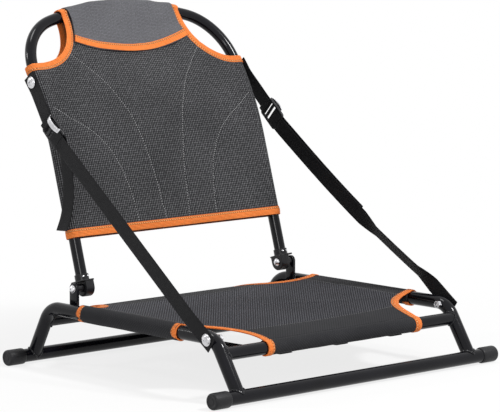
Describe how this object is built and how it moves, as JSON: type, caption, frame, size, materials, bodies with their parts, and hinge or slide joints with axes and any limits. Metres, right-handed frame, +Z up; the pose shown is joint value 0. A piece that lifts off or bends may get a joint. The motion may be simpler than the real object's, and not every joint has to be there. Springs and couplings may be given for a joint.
{
  "type": "kayak seat",
  "caption": "Folding kayak seat with a bent tube base, a stretched sling, a cloth-covered tubular backrest and adjustable webbing straps.",
  "frame": {"origin": "middle of the seat's box in X and Y, on the floor under its four foot caps", "axes": "+X runs across the seat to the sitter's left hand side as seen from the front, +Y points to the rear where the backrest stands, +Z is up; the seat faces -Y"},
  "size_m": [0.563, 0.564, 0.5293],
  "materials": {
    "frame": "gloss",
    "cap": "matt",
    "moulding": "satin",
    "steel": "zinc plated",
    "mesh_cloth": "woven mesh",
    "flap_cloth": "woven",
    "binding": "woven tape",
    "webbing": "woven webbing"
  },
  "bodies": {
    "base": {"foot_cap_front_left": "cap", "foot_cap_front_right": "cap", "foot_cap_rear_left": "cap", "foot_cap_rear_right": "cap", "front_cross_tube": "frame", "front_foot_tube": "frame", "hinge_bolt_left": "steel", "hinge_bolt_right": "steel", "hinge_nut_left": "steel", "hinge_nut_right": "steel", "hinge_spacer_left": "moulding", "hinge_spacer_right": "moulding", "hinge_upright_left": "frame", "hinge_upright_right": "frame", "lower_strap_bolt_left": "steel", "lower_strap_bolt_right": "steel", "lower_strap_left": "webbing", "lower_strap_nut_left": "steel", "lower_strap_nut_right": "steel", "lower_strap_right": "webbing", "rear_cross_tube": "frame", "rear_foot_tube": "frame", "seat_binding_front_left": "binding", "seat_binding_front_right": "binding", "seat_binding_rear_left": "binding", "seat_binding_rear_right": "binding", "seat_sling": "mesh_cloth", "side_rail_left": "frame", "side_rail_right": "frame", "tension_buckle_left": "moulding", "tension_buckle_middle": "moulding", "tension_buckle_right": "moulding", "tension_strap_left": "webbing", "tension_strap_middle": "webbing", "tension_strap_right": "webbing", "strap_tail_right": "webbing"},
    "backrest": {"backrest_cover": "mesh_cloth", "backrest_flap": "flap_cloth", "backrest_tube": "frame", "buckle_body_left": "moulding", "buckle_body_right": "moulding", "flap_binding": "binding", "hem_binding": "binding", "hinge_fitting_left": "moulding", "hinge_fitting_right": "moulding", "opening_binding_left": "binding", "opening_binding_right": "binding", "socket_rivet_inner_left": "steel", "socket_rivet_inner_right": "steel", "socket_rivet_outer_left": "steel", "socket_rivet_outer_right": "steel", "strap_tail_left": "webbing", "upper_strap_bolt_left": "steel", "upper_strap_bolt_right": "steel", "upper_strap_left": "webbing", "upper_strap_right": "webbing"}
  },
  "joints": [
    {"name": "backrest_fold", "type": "hinge", "parent": "base", "child": "backrest", "pos_m": [0, 0.10434, 0.1182], "axis": [1, 0, 0], "range_deg": [0, 90], "deforming": ["lower_strap_left", "lower_strap_right", "strap_tail_right"]}
  ]
}
